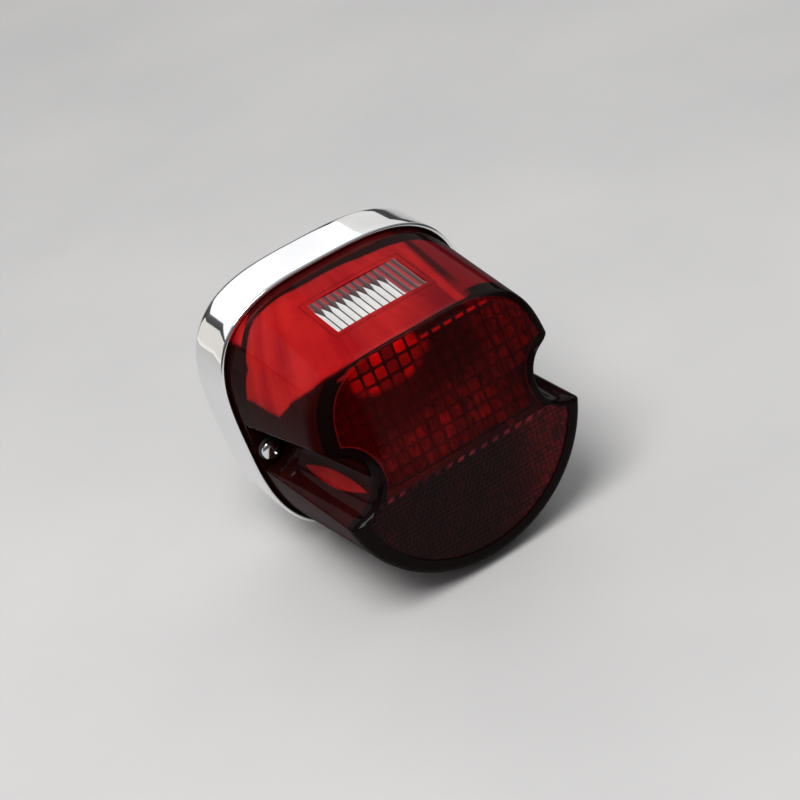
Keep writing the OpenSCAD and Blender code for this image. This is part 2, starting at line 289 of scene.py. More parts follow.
class Nodes:
    """A short way to write a node tree."""

    def __init__(self, name, world=False):
        self.owner = (bpy.data.worlds if world else bpy.data.materials).new(name)
        self.owner.use_nodes = True
        self.tree = self.owner.node_tree
        self.tree.nodes.clear()
        self.out = self.tree.nodes.new("ShaderNodeOutput" + ("World" if world else "Material"))
        self.place = self.tree.nodes.new("ShaderNodeTexCoord").outputs["Generated" if world else "Object"]

    def add(self, kind, **inputs):
        n = self.tree.nodes.new("ShaderNode" + kind)
        for k, v in inputs.items():
            self.set(n.inputs[k.replace("_", " ")], v)
        return n

    def set(self, socket, v):
        if isinstance(v, Value):
            v = v.socket
        if isinstance(v, bpy.types.NodeSocket):
            self.tree.links.new(v, socket)
        elif isinstance(v, (tuple, list)) and len(v) == 3 and socket.type == "RGBA":
            socket.default_value = (*v, 1.0)
        else:
            socket.default_value = v

    def noise(self, scale, detail=3.0, rough=0.5, stretch=None, at=None):
        at = self.place if at is None else at
        if stretch:
            m = self.add("Mapping", Vector=at)
            m.inputs["Scale"].default_value = stretch
            at = m.outputs[0]
        n = self.add("TexNoise", Vector=at, Scale=scale, Detail=detail, Roughness=rough)
        return Value(self, n.outputs["Fac"])

    def ramp(self, value, low, high, lo=0.0, hi=1.0):
        """value from lo..hi mapped to low..high, which are numbers or colours."""
        if isinstance(low, tuple):
            return self.blend(self.ramp(value, 0.0, 1.0, lo, hi), low, high)
        m = self.add("MapRange", Value=value)
        for i, v in enumerate((lo, hi, low, high)):
            m.inputs[i + 1].default_value = v
        return Value(self, m.outputs[0])

    def spread(self, noise, low, high):
        """A noise's usual range mapped to low..high."""
        return self.ramp(noise, low, high, 0.3, 0.7)

    def math(self, op, a, b=0.0):
        m = self.add("Math")
        m.operation = op
        self.set(m.inputs[0], a)
        self.set(m.inputs[1], b)
        return Value(self, m.outputs[0])

    def step(self, value, lo, hi):
        """0 below lo, 1 above hi, smooth between."""
        m = self.add("MapRange", Value=value)
        m.interpolation_type = "SMOOTHSTEP"
        m.inputs[1].default_value, m.inputs[2].default_value = lo, hi
        return Value(self, m.outputs[0])

    def place_mm(self):
        """Across (x), up (u) and outward (n), in millimetres."""
        split = self.add("SeparateXYZ", Vector=self.place)
        return [Value(self, split.outputs[i]) * s for i, s in ((0, 1 / MM), (2, 1 / MM), (1, -1 / MM))]

    def hypot(self, a, b):
        return (a * a + b * b).root()

    def either(self, *masks):
        out = masks[0]
        for m in masks[1:]:
            out = out.at_least(m)
        return out

    def blend(self, share, a, b):
        """a where share is 0 and b where it is 1, as colours or numbers."""
        m = self.add("Mix")
        colour = any(isinstance(v, tuple) or isinstance(v, Value) and v.socket.type == "RGBA" for v in (a, b))
        m.data_type = "RGBA" if colour else "FLOAT"
        first = 6 if colour else 2
        self.set(m.inputs[0], share)
        self.set(m.inputs[first], a)
        self.set(m.inputs[first + 1], b)
        return Value(self, m.outputs[2 if colour else 0])

    def facing(self, normal):
        """0 face on, 1 at a slant."""
        return Value(self, self.add("LayerWeight", Blend=0.5, Normal=normal).outputs["Facing"])

    def bump(self, height, strength, distance=0.0002):
        return self.add("Bump", Height=height, Strength=strength, Distance=distance).outputs[0]

    def principled(self, **inputs):
        return self.add("BsdfPrincipled", **inputs)

    def mirror(self, rough, normal):
        return self.add("BsdfGlossy", Color=(1.0, 1.0, 1.0), Roughness=rough, Normal=normal)

    def mix(self, share, a, b):
        m = self.add("MixShader")
        self.set(m.inputs[0], share)
        self.tree.links.new(a.outputs[0], m.inputs[1])
        self.tree.links.new(b.outputs[0], m.inputs[2])
        return m

    def finish(self, shader):
        self.tree.links.new(shader.outputs[0], self.out.inputs["Surface"])
        return self.owner


def metal(name, low, high, rough, scale=60, scratch=0.15):
    """A metal whose colour and roughness wander over the surface, with fine marks in its relief."""
    k = Nodes(name)
    fine = k.noise(scale * 14, 3, 0.6)
    return k.finish(k.principled(
        Base_Color=k.spread(k.noise(scale, 4), low, high), Metallic=1.0,
        Roughness=k.spread(fine, *rough), Normal=k.bump(fine, scratch, 0.00004)))


def dull(name, low, high, rough, scale=80, relief=0.3, grain=900):
    """Rubber, plastic or paint: mottled colour over a fine grain."""
    k = Nodes(name)
    fine = k.noise(grain, 2, 0.6)
    return k.finish(k.principled(
        Base_Color=k.spread(k.noise(scale, 4), low, high), Roughness=k.spread(fine, *rough),
        Normal=k.bump(fine, relief, 0.00015)))


def clear(name, tint, tint_low, body, share, rough, relief, scale):
    """Clear glass: a tinted body with a mirror skin that grows at a slant, and share of it solid colour."""
    k = Nodes(name)
    fine = k.noise(scale * 9, 2)
    normal = k.bump(fine, relief, 0.00008)
    see = k.add("BsdfTransparent", Color=k.spread(k.noise(scale, 3), tint_low, tint))
    solid = k.principled(Base_Color=body, Roughness=rough + 0.15, Normal=normal)
    mirror = k.mirror(k.spread(fine, rough, rough + 0.03), normal)
    return k.finish(k.mix(k.ramp(k.facing(normal) ** 4.0, 0.04, 0.7), k.mix(share, see, solid), mirror))


chrome = metal("chrome", (0.82, 0.82, 0.83), (0.9, 0.9, 0.9), (0.03, 0.07), 25, 0.02)
zinc = metal("zinc_steel", (0.42, 0.43, 0.45), (0.6, 0.6, 0.61), (0.24, 0.42), 90, 0.3)
screw_chrome = metal("screw_chrome", (0.7, 0.7, 0.71), (0.86, 0.86, 0.86), (0.1, 0.2), 120, 0.15)
brass = metal("brass", (0.5, 0.33, 0.1), (0.72, 0.52, 0.21), (0.2, 0.4), 110, 0.25)
tungsten = metal("tungsten", (0.16, 0.16, 0.17), (0.3, 0.3, 0.32), (0.35, 0.55), 500, 0.4)
solder = metal("solder", (0.42, 0.42, 0.41), (0.62, 0.62, 0.6), (0.35, 0.6), 220, 0.5)
rubber = dull("rubber", (0.012, 0.012, 0.012), (0.035, 0.034, 0.033), (0.55, 0.8), 70, 0.5)
phenolic = dull("phenolic", (0.07, 0.03, 0.014), (0.17, 0.085, 0.04), (0.35, 0.6), 260, 0.3)
grey = dull("backing_grey", (0.17, 0.17, 0.18), (0.26, 0.26, 0.27), (0.5, 0.7), 120, 0.3)
dish_paint = dull("bright_dish", (0.82, 0.82, 0.83), (0.93, 0.93, 0.93), (0.3, 0.45), 50, 0.12, 500)
bulb_clear = clear("bulb_glass", (0.985, 0.99, 0.99), (0.96, 0.97, 0.97), (0.8, 0.82, 0.82), 0.03,
                   0.02, 0.04, 60)


def skin(k, inner, normal, rough, low, high, dulled=0.0):
    """A mirror skin over a shader, weak face on and stronger at a slant; dulled is 1 where it has none."""
    share = k.ramp(k.facing(normal) ** 5.0, low, high) * k.math("SUBTRACT", 1.0, dulled)
    return k.mix(share, inner, k.mirror(rough, normal))


def off_middle(value):
    """Distance from the middle of a repeat, 0 to 0.5."""
    return abs(value.fract() - 0.5)


def lens_red():
    """The lens's plastic, with light and shade painted into its colour: a painted glow where the reflector
    shows through its top, painted shade on its rolled edge, its foot and the low walls, and clear over the
    prisms.
    All of it is set by place: x across, u up, n outward, and level, which is 0 on the face and its slanted
    upper part."""
    k = Nodes("red_lens")
    wide, fine = k.noise(45, 3), k.noise(400, 2)
    wander = k.spread(k.noise(60, 3), -0.8, 0.8)
    x, u, n = k.place_mm()
    across, up = abs(x), u.at_least(0.0)
    level = n - (FACE - up * (BROW_BACK / BROW_H))

    # The front, as against the walls behind it. It starts nearer the face along the left of the top edge.
    top_edge = k.step(u, 43.0, 45.0) * (1 - k.step(x, 24.0, 30.0))
    front = k.step(level - top_edge * 3.0, -6.6, -5.4)

    # Painted shade on its rolled edge, from out: 1 is the outline, as a rounded square above and an arc below
    p = BROW_POWER
    top = ((across / (BROW_W + ROLL)) ** p + (up / (BROW_H + 5.0)) ** p) ** (1 / p)
    arc_out = k.hypot(across, u.at_most(0.0)) / (FACE_R + ROLL)
    out = top.at_least(arc_out + (1 - k.step(u, -6.0, -2.0)) * 0.045)
    notch = k.hypot(across - CHANNEL_1[0], u - CHANNEL_1[1])
    near_notch = 1 - k.step(notch, CHANNEL_R1 + 3.4, CHANNEL_R1 + 4.2)
    roll = k.step(out, 0.905, 0.917).at_least(near_notch)
    scallop = 1 - k.step(level - off_middle(x / PRISM) * 1.6, -2.2, -1.6)
    roll = k.blend(top_edge, roll, scallop)
    strip = (1 - k.step(u, -2.8, -2.2)) * k.step(u, -5.4, -5.0)

    # A painted highlight: a thin light line inside the edge at the upper right
    painted_edge_highlight = k.step(out, 0.884, 0.892) * front * (1 - k.step(out, 0.899, 0.905).at_least(near_notch))
    painted_edge_highlight = painted_edge_highlight * k.step(x, 20.0, 30.0) * k.step(u, 0.0, 16.0)

    # Painted shade: the dark foot beside the chrome, wine-coloured on top, with a painted lit patch at the
    # left corner
    side_rise = ((50.0 - u).at_least(0.0) * 0.85).at_most(10.5)
    foot = 1 - k.step(n + wander - side_rise - x * 0.085, 34.0, 35.6)
    wine = (1 - k.step(n + wander, 30.0, 31.2)) * k.step(u, 46.0, 49.0)
    patch = (1 - k.step(n + (x + 37.0) * 0.667, 26.4, 27.2)) * (1 - k.step(x, -37.5, -35.0))
    foot = foot * (1 - patch * k.step(u, 42.5, 45.0)) * k.blend(wine, 0.985, 0.90)

    # Painted shade: the dark low walls, whose upper limit rises towards the face
    low = 1 - k.step(u + wander - (n - 63.0).at_least(0.0) * 0.8, 25.2, 27.6)

    # The moulded frame round the window, painted as a dark line of shade
    frame_at = (across - WINDOW_W / 2).at_least(abs(n - (RIM + WINDOW_N)) - WINDOW_H / 2)
    mould = (1 - k.step(abs(frame_at - 2.4), 0.2, 0.6)) * (1 - front) * k.step(u, 40.0, 42.0)

    # The right shoulder, painted with light and shade: a painted highlight stripe with a dark stripe of
    # painted shade beside it, and painted shade in the corner at its front
    off = x - (30.3 - n * 0.085)
    shoulder_highlight = 1 - k.step(abs(off), 1.0, 2.4)
    shoulder_shade = (1 - k.step(abs(off - 4.4), 0.9, 2.3)) * (1 - k.step(n, 66.0, 84.0))
    corner = k.step(x, 24.0, 30.0) * k.step(u, 36.0, 42.0) * k.step(level + (x - 29.0) * 0.2, -9.6, -8.0)

    # A painted highlight: a lens-shaped bright streak along the lower wall of each screw channel
    along = (n - 73.0) / 23.0
    channel_highlight = k.step((1 - along * along) * 2.8 - abs(u - n * 0.09 + 11.3), 0.0, 0.8)
    channel_highlight = channel_highlight * (1 - k.step(across, 44.0, 45.5))

    # Painted shade: the dark walls, a darker far right side and the dark rolled edge, lifted where the painted
    # highlight streak lies
    wall_shade = k.either(foot, mould * 0.5, low * 0.97, shoulder_shade * 0.8, k.step(x, 36.0, 42.0) * 0.65, corner)
    dark = k.blend(front, wall_shade, roll.at_least(strip * 0.9)) * (1 - channel_highlight)
    # Painted light: a bright red glow, as where the reflector shows through the top, broken into rays, with
    # painted shade that darkens it towards the right and the face
    rays = k.noise(14.0, 4.0, 0.6, at=k.add("CombineXYZ", X=x / (n + 20.0), Y=0.3).outputs[0])
    glow = k.ramp((wide + rays) * 0.5, (0.44, 0.005, 0.010), (0.70, 0.022, 0.020), 0.36, 0.62)
    right_shade = k.step(x + (n - 60.0) * 0.5, 2.0, 32.0).at_least(k.step(off, 2.0, 4.0)) * (1 - shoulder_highlight * 0.8)
    glow = k.blend(right_shade * 0.85, glow, (0.13, 0.002, 0.006))
    body = k.blend(dark, glow, (0.005, 0.0018, 0.0018))
    share = k.blend(front, k.blend(dark, k.blend(right_shade, 0.6, 0.8), 0.975), k.blend(dark, 0.03, 0.97))
    share = k.either(share, channel_highlight * 0.6, painted_edge_highlight * 0.35)

    # No mirror skin at the front's left corner, where a light would show as a white blob
    bare = (1 - k.step(x, -34.0, -28.0)) * k.step(u, 8.0, 16.0) * k.step(n, 78.0, 86.0)
    normal = k.bump(fine, 0.04, 0.00008)
    see = k.add("BsdfTransparent", Color=k.spread(wide, (0.78, 0.05, 0.05), (0.86, 0.085, 0.08)))
    solid = k.principled(Base_Color=body, Roughness=0.35, Normal=normal, Specular_IOR_Level=0.0)
    rough = k.spread(fine, 0.04, 0.08)
    return k.finish(skin(k, k.mix(share, see, solid), normal, rough, 0.006, 0.13, bare))


def window_clear():
    """Clear flutes with light and shade painted in: painted white where the reflector shows through, painted
    red towards the base and the right, painted shade between.
    """
    k = Nodes("clear_window")
    wide, fine = k.noise(120, 3), k.noise(900, 2)
    x, _, n = k.place_mm()
    off = off_middle((x + WINDOW_W) / (WINDOW_W / FLUTES))
    past = n - (RIM + WINDOW_N) + 6.3 - (x + WINDOW_W / 2) * 0.03
    right = k.step(x, 10.4, 11.2)
    # Painted light and shade of what lies behind: white on the flute crowns where the reflector shows through,
    # red towards the base and the right, dark between the flutes
    tip = k.step(past - off * 15.0, -0.8, 0.8)
    white = tip * (1 - k.step(off, 0.38, 0.43)) * (1 - right)
    red = (1 - k.step(past, -1.5, 1.0)).at_least(right) * (1 - k.step(off, 0.24, 0.32))
    colour = k.blend(red, (0.045, 0.012, 0.013), (0.40, 0.022, 0.032))
    colour = k.blend(white, colour, k.spread(wide, (0.86, 0.85, 0.83), (0.95, 0.95, 0.93)))
    normal = k.bump(fine, 0.1, 0.00005)
    see = k.add("BsdfTransparent", Color=colour)
    solid = k.principled(Base_Color=colour, Roughness=0.4, Normal=normal)
    return k.finish(skin(k, k.mix(0.72, see, solid), normal, k.spread(fine, 0.06, 0.1), 0.015, 0.6))


def cells(k, x, u, pitch, shift):
    """A mask of painted shade in the grooves between cells, and a random value for each cell."""
    cx, cu = x / pitch, (u - shift) / pitch
    spot = k.add("CombineXYZ", X=cx.floor(), Y=cu.floor())
    rand = Value(k, k.add("TexWhiteNoise", Vector=spot.outputs[0]).outputs["Value"])
    far = (off_middle(cx) ** 6.0 + off_middle(cu) ** 6.0) ** (1 / 6)
    return k.step(far, 0.35, 0.43), rand


def dashes(k, along, height, thick, long):
    """A row of short dashes, one to a prism cell, fading out over the ranges thick and long."""
    return (1 - k.step(abs(height), *thick)) * (1 - k.step(off_middle(along / PRISM), *long))


def prism_glow():
    """Prism cells with light painted into their colour: a group of painted glints at the upper left, a dark
    band, then redder cells of painted light low down, with fine strokes, and a row of dashes along the top."""
    k = Nodes("prism_red")
    x, u, _ = k.place_mm()
    groove_shade, rand = cells(k, x, u, PRISM, PRISM_LOW)
    fine, wide, strokes = k.noise(700, 2), k.noise(70, 3, 0.6), k.noise(380, 3, 0.7, (1.3, 1, 0.4))
    # Painted glints: a bright group of cells at the upper left
    glint_group = 1 - k.step(k.hypot((x + 16.0) / 15.0, (u - 41.0) / 8.0), 0.85, 1.4)
    # Painted light: redder cells low down and at the right side
    low = (1 - k.step(u - x * 0.25, 14.0, 26.0)) * (1 - k.step(x, 2.0, 34.0) * 0.6)
    side = k.step(x, 18.0, 34.0) * k.step(u, 14.0, 30.0)
    level = low * 0.10 * k.ramp(rand, 0.35, 1.3) + side * 0.09 + 0.012
    level = level * k.spread(wide, 0.5, 1.4) * k.ramp(strokes, 0.15, 2.1, 0.36, 0.66)
    bright = glint_group * k.ramp(rand, 0.12, 1.0) * k.ramp(wide, 0.5, 1.05, 0.35, 0.6)
    colour = k.blend(level.at_least(bright).at_most(1.0), (0.009, 0.002, 0.002), (0.95, 0.06, 0.06))
    # Painted shade in the grooves, within the glint group and along the strokes
    groove_shade = groove_shade * glint_group.at_least(k.ramp(strokes, 0.3, 0.9, 0.35, 0.65))
    colour = k.blend(groove_shade, colour, (0.004, 0.001, 0.001))
    dash = dashes(k, x, u - 42.6, (0.45, 0.8), (0.27, 0.36)) * k.step(x, -6.0, -3.0)
    colour = k.blend(dash, colour, (0.62, 0.06, 0.09))
    return k.finish(k.principled(Base_Color=colour, Roughness=k.spread(fine, 0.12, 0.25),
                                 Normal=k.bump(fine, 0.15, 0.0001), Specular_IOR_Level=0.25))


def reflex_glow():
    """The reflex panel: nearly black, with painted light making it redder towards its right edge, a fine
    broken pattern, painted shade in the grooves between its cells, and a row of dashes along its top."""
    k = Nodes("reflex_red")
    x, u, _ = k.place_mm()
    groove_shade, rand = cells(k, x, u, REFLEX_CELL, 0.3)
    fine, wide = k.noise(900, 2), k.noise(70, 4, 0.6)
    # Painted light: redder towards the right edge
    right = k.step(x + k.hypot(x, u) * 0.35, 18.0, 52.0)
    level = (right * 0.6 + 0.10) * k.spread(wide, 0.5, 1.4) * k.ramp(rand, 0.5, 1.3)
    colour = k.blend(level.at_most(1.0), (0.006, 0.0016, 0.0016), (0.13, 0.006, 0.009))
    # Painted shade in the grooves between cells
    colour = k.blend(groove_shade * 0.6, colour, (0.003, 0.0008, 0.0008))
    dash = dashes(k, x - (u + 6.0) * 0.8, u + 6.1, (0.6, 0.95), (0.2, 0.3))
    colour = k.blend(dash * k.ramp(k.noise(50, 2), 0.1, 0.8, 0.4, 0.6), colour, (0.26, 0.02, 0.035))
    return k.finish(k.principled(Base_Color=colour, Roughness=k.spread(fine, 0.2, 0.35),
                                 Normal=k.bump(fine, 0.12, 0.0001), Specular_IOR_Level=0.08))


red_glass = lens_red()
clear_plastic = window_clear()
prism_red = prism_glow()
reflex_red = reflex_glow()


# ------------------------------------------------------------------ outlines
def spow(v, e):
    """v to the power e, keeping its sign."""
    return math.copysign(abs(v) ** e, v)


def outline_at(d, a):
    """The base's outline grown by d, at angle a of its superellipse."""
    up = spow(math.sin(a), 2 / POWER)
    return ((HALF_W + d) * spow(math.cos(a), 2 / POWER) * (1 + TAPER * up), (HALF_H + d) * up)


def even_angles():
    """Superellipse angles whose points lie evenly along the outline and stay mirrored left to right."""
    fine = np.linspace(-math.pi / 2, math.pi / 2, 4001)
    pts = np.array([outline_at(0.0, a) for a in fine])
    run = np.concatenate([[0], np.cumsum(np.hypot(*np.diff(pts, axis=0).T))])
    right = np.interp(np.linspace(0, run[-1], STEPS // 2 + 1), run, fine)
    return list(right) + [math.pi - a for a in right[-2:0:-1]]


ANGLES = even_angles()


def ring_at(d, n, scale=1.0):
    """The base's outline grown by d and scaled, at level n."""
    return [(x * scale, u * scale, n) for x, u in (outline_at(d, a) for a in ANGLES)]


def arc(c_d, c_n, r, a0, a1, steps=5):
    """Rings along an arc of the wall's section, centre at offset c_d and level c_n."""
    return [ring_at(c_d + r * math.cos(a), c_n + r * math.sin(a))
            for a in np.radians(np.linspace(a0, a1, steps))]


def plate(d, n, outward=True):
    """Rings of a flat plate, from its middle outward, or the other way round."""
    scales = (0.12, 0.4, 0.7, 0.93)
    return [ring_at(d, n, s) for s in (scales if outward else scales[::-1])]


# ------------------------------------------------------------------ base
def chrome_tub():
    """The base: a tub with rolled edges, a ledge for the gasket, and posts for inserts, dish and ground."""
    back, low = 3.0, PLATE_TOP - 0.6
    rows = plate(-back, PAD_T) + arc(-back, PAD_T + back, back, -90, 0, 8)
    rows += [ring_at(0, n) for n in (8, 14, 20)]
    rows += arc(-WALL / 2, RIM - WALL / 2, WALL / 2, 0, 180, 9)
    rows += [ring_at(-WALL, LEDGE + 0.4), ring_at(-WALL - 0.4, LEDGE), ring_at(-WALL - 3, LEDGE),
             ring_at(-WALL - 3, LEDGE - 2.5), ring_at(-WALL, LEDGE - 3.2), ring_at(-WALL, PLATE_TOP + 3)]
    rows += arc(-WALL - 3, PLATE_TOP + 3, 3, 0, -90, 6)[1:] + plate(-WALL - 3, PLATE_TOP, False)
    tub = make("chrome_tub", *loft(rows))
    posts = [rod(BOSS_R, low, LEDGE, at, 0.4) for at in SCREWS.values()]
    posts += [turned([(0, low), (FOOT_R + 1, low), (FOOT_R + 0.2, PLATE_TOP + 1), (FOOT_R, PLATE_TOP + 2),
                      (FOOT_R, DISH_Z - 0.3), (FOOT_R - 0.3, DISH_Z), (0, DISH_Z)], p) for p in FEET]
    posts.append(rod(FOOT_R, low, PLATE_TOP + 2, GROUND, 0.3))
    boolean(tub, posts, "UNION")
    holes = [rod(INSERT_R, LEDGE - INSERT_LEN, LEDGE + 1, at) for at in SCREWS.values()]
    holes += [rod(COLLAR_R, -1, PLATE_TOP + 1, at) for at in STUDS]
    holes += [rod(GROMMET_R, -1, PLATE_TOP + 1, (0, GROMMET_U))]
    holes += [rod(FOOT_SCREW_R, PLATE_TOP + 2, DISH_Z + 1, p) for p in FEET]
    boolean(tub, holes)
    place(tub, "base", chrome, "base_shell")


def fender_pad():
    """The rubber pad between the base and the fender."""
    d, r = -2.0, 0.5
    rows = plate(d - r, 0) + arc(d - r, r, r, -90, 0, 4)
    rows += arc(d - r, PAD_T - r, r, 0, 90, 4) + plate(d - r, PAD_T, False)
    pad = make("fender_pad", *loft(rows))
    boolean(pad, [rod(COLLAR_R, -1, PAD_T + 1, at) for at in STUDS]
            + [rod(GROMMET_R + 3, -1, PAD_T + 1, (0, GROMMET_U))])
    place(pad, "base", rubber, "fender_gasket")


def thread(r, pitch, depth):
    """A bend for turned(): a screw thread cut into radius r."""
    def bend(a, rr, n):
        if abs(rr - r) > 1e-6:
            return rr
        t = (n / pitch - a / (2 * math.pi)) % 1.0
        return r - depth * (1 - abs(2 * t - 1))
    return bend


def threaded(r, n0, n1, pitch, depth, at, head=()):
    """A threaded rod from a tapered start at n0 up to n1, then on through head's (r, n) points."""
    count = int((n1 - n0 - 1) / pitch * 6)
    profile = [(0, n0), (r - 1.0, n0), (r - depth - 0.05, n0 + 0.7)]
    profile += [(r, n0 + 1 + (n1 - n0 - 1) * i / count) for i in range(count + 1)]
    return turned(profile + list(head), at, 40, bend=thread(r, pitch, depth))


def studs():
    """Each stud: its thread behind the fender, a collar through pad and plate, and a flat head inside."""
    collar, head, top = COLLAR_R - 0.01, STUD_R * 2, PLATE_TOP + 3
    shape = [(STUD_R - 0.001, -4), (STUD_R - 0.001, 0.01), (collar - 0.24, 0.01), (collar, 0.25),
             (collar, PLATE_TOP + 0.01), (head - 0.3, PLATE_TOP + 0.01), (head, PLATE_TOP + 0.3),
             (head, top - 0.5), (head - 0.5, top), (0, top)]
    parts = [threaded(STUD_R, -STUD_OUT, -5, 1.0, 0.45, at, shape) for at in STUDS]
    place(make("stud_pair", *joined(*parts)), "base", zinc, "mount_studs")


def inserts():
    """Knurled brass inserts for the lens screws."""
    def knurl(a, r, n):
        return r - 0.18 * abs(math.sin(18 * a)) if r > INSERT_R - 0.1 else r
    top, low, bore = LEDGE, LEDGE - INSERT_LEN, SCREW_R + 0.05
    outer = [(INSERT_R - 0.01, n) for n in (low + 0.4, low + 5, low + 6, top - 0.5)]
    profile = [(3.2, low)] + outer + [(3.2, top - 0.05), (bore + 0.3, top - 0.05), (bore, top - 0.35),
                                      (bore, low + 0.3), (bore + 0.25, low)]
    parts = [turned(profile, at, 108, True, knurl) for at in SCREWS.values()]
    place(make("threaded_inserts", *joined(*parts)), "base", brass, "screw_inserts")


def grommet():
    """A rubber grommet: two lips round a narrow waist that sits in the plate."""
    lip, waist, bore = GROMMET_R + 2, GROMMET_R - 0.02, HARNESS_R
    low, high = 0.2, PLATE_TOP + 2
    outer = [(lip - 0.8, low), (lip - 0.2, low + 0.25), (lip, low + 0.8), (lip - 0.1, PAD_T - 0.1),
             (GROMMET_R + 0.3, PAD_T - 0.02), (waist, PAD_T + 0.2), (waist, PLATE_TOP - 0.2),
             (GROMMET_R + 0.3, PLATE_TOP + 0.02), (lip - 0.1, PLATE_TOP + 0.1), (lip, high - 0.8),
             (lip - 0.3, high - 0.2), (lip - 0.9, high)]
    inner = [(bore + 0.8, high), (bore + 0.2, high - 0.25), (bore, high - 0.8), (bore, low + 0.8),
             (bore + 0.2, low + 0.25), (bore + 0.8, low)]
    place(make("rubber_grommet", *turned(outer + inner, (0, GROMMET_U), 72, True), angle=60),
          "base", rubber, "harness_grommet")


def terminals():
    """The terminal block with its partitions, and three drilled blades in its slots."""
    xs, z = (-8, 0, 8), PLATE_TOP
    body = make("terminal_body", *block(-13, 13, BLOCK_U - 4, BLOCK_U + 4, z, z + 8, 0.5))
    cuts = [block(x - 3.2, x + 3.2, BLOCK_U - 0.4, BLOCK_U + 0.4, z + 2, z + 9) for x in xs]
    cuts += [block(x - 0.5, x + 0.5, BLOCK_U - 5, BLOCK_U + 5, z + 6, z + 9) for x in (-4, 4)]
    boolean(body, cuts)
    place(body, "base", phenolic, "terminal_block")
    blades = [block(x - 3.15, x + 3.15, BLOCK_U - 0.35, BLOCK_U + 0.35, z + 2, z + 9.4, 0.2, 2) for x in xs]
    blade = make("blade_set", *joined(*blades))
    drill = Matrix.Rotation(math.radians(90), 4, "X")
    boolean(blade, [moved(rod(0.7, -2, 2), (x, BLOCK_U, z + 8.6), drill) for x in xs])
    place(blade, "base", brass, "terminal_blades")


def pan_screw(r, head, length, t, at, n, pitch=0.5):
    """A pan-head screw whose head starts at level n, and the two wings of its cross recess."""
    dome = [(head * math.cos(a), n + t * (0.45 + 0.55 * math.sin(a)))
            for a in np.linspace(0.0, math.pi / 2, 9)[1:-1]]
    top = [(r - 0.001, n - 0.6), (r - 0.001, n + 0.002), (head - 0.25, n + 0.002), (head, n + 0.25),
           (head, n + t * 0.45)]
    body = threaded(r, n - length, n - 0.8, pitch, 0.12 * r, at, top + dome + [(0, n + t)])
    reach, deep, thin = head * 0.62, min(t * 0.62, 1.8), head / SCREW_HEAD_R
    wing = []
    for long, half, z in ((reach, 0.5, t + 0.5), (reach * 0.45, 0.25, t - deep)):
        half *= thin
        wing += [(-long, -half, z), (long, -half, z), (long, half, z), (-long, half, z)]
    faces = [(3, 2, 1, 0), (4, 5, 6, 7), (0, 1, 5, 4), (1, 2, 6, 5), (2, 3, 7, 6), (3, 0, 4, 7)]
    cuts = [moved((wing, faces), (*at, n), Matrix.Rotation(math.radians(turn), 4, "Z")) for turn in (20, 110)]
    return body, cuts


def screws(name, body, material, node, sets, slot=None):
    """One piece for a group of screws; each set is pan_screw's arguments."""
    solids, cuts = zip(*[pan_screw(*s) for s in sets])
    obj = make(name, *joined(*solids))
    for i in range(2):
        boolean(obj, [c[i] for c in cuts])
    place(obj, body, material, node, slot=slot)


def ground():
    """The drilled ground tab and the screw that holds it to its post."""
    z = PLATE_TOP + 2
    x, u = GROUND
    tab = make("ground_lug", *block(x - 4, x + 4, u - 10, u + 4, z, z + 0.8, 0.25, 2))
    boolean(tab, [rod(FOOT_SCREW_R, z - 1, z + 2, GROUND), rod(0.9, z - 1, z + 2, (x, u - 8))])
    place(tab, "base", brass, "ground_tab")
    screws("ground_bolt", "base", zinc, "ground_screw",
           [(FOOT_SCREW_R, FOOT_HEAD_R, 2.8, FOOT_HEAD_T, GROUND, z + 0.8)])


def seal():
    """The lens's gasket: a ring on the ledge, with an ear round each lens screw."""
    lo, hi = LEDGE, LEDGE + GASKET_T
    d0, d1, r = -WALL - 0.2, -WALL - 3, 0.4
    rows = [ring_at(d0 - r, lo), ring_at(d0, lo + r), ring_at(d0, hi - r), ring_at(d0 - r, hi),
            ring_at(d1 + r, hi), ring_at(d1, hi - r), ring_at(d1, lo + r), ring_at(d1 + r, lo)]
    ring = make("lens_seal", *loft(rows + [rows[0]], False, False))
    boolean(ring, [rod(BOSS_R, lo + 0.02, hi - 0.02, at, 0.3) for at in SCREWS.values()], "UNION")
    boolean(ring, [rod(SCREW_BORE, lo - 1, hi + 1, at) for at in SCREWS.values()])
    place(ring, "base", rubber, "lens_gasket")


def dish():
    """The bright reflector, with a turned-up edge, round the socket and clear of the screw posts."""
    edge, t, z = -9.0, DISH_T, DISH_Z
    rows = plate(edge - 3, z) + arc(edge - 3, z + 3, 3, -90, 0, 6) + [ring_at(edge, z + 5.6)]
    rows += arc(edge - t / 2, z + 5.5, t / 2, 0, 180, 5)
    rows += [ring_at(edge - t, z + 4.6)] + arc(edge - t - 2.6, z + t + 2.6, 2.6, 0, -90, 6)
    rows += plate(edge - t - 2.6, z + t, False)
    bowl = make("bright_dish", *loft(rows))
    boolean(bowl, [rod(7, z - 1, z + 8, at) for at in SCREWS.values()]
            + [rod(SOCKET_OUT, z - 1, z + 2, BULB_AT, 0, 96)]
            + [rod(FOOT_SCREW_R, z - 1, z + 2, p) for p in FEET])
    place(bowl, "base", dish_paint, "reflector_dish")
    screws("dish_bolts", "base", zinc, "dish_screws",
           [(FOOT_SCREW_R, FOOT_HEAD_R, t + 6, FOOT_HEAD_T, p, z + t) for p in FEET])


def coil(radius, turns, per, start, end, at, along_x=False):
    """Points of a coil from start to end along n, or along x; at is (x, u) or (u, n)."""
    path = []
    for i in range(turns * per + 1):
        a = 2 * math.pi * i / per
        run = start + (end - start) * i / (turns * per)
        p, q = at[0] + radius * math.cos(a), at[1] + radius * math.sin(a)
        path.append((run, p, q) if along_x else (p, q, run))
    return path


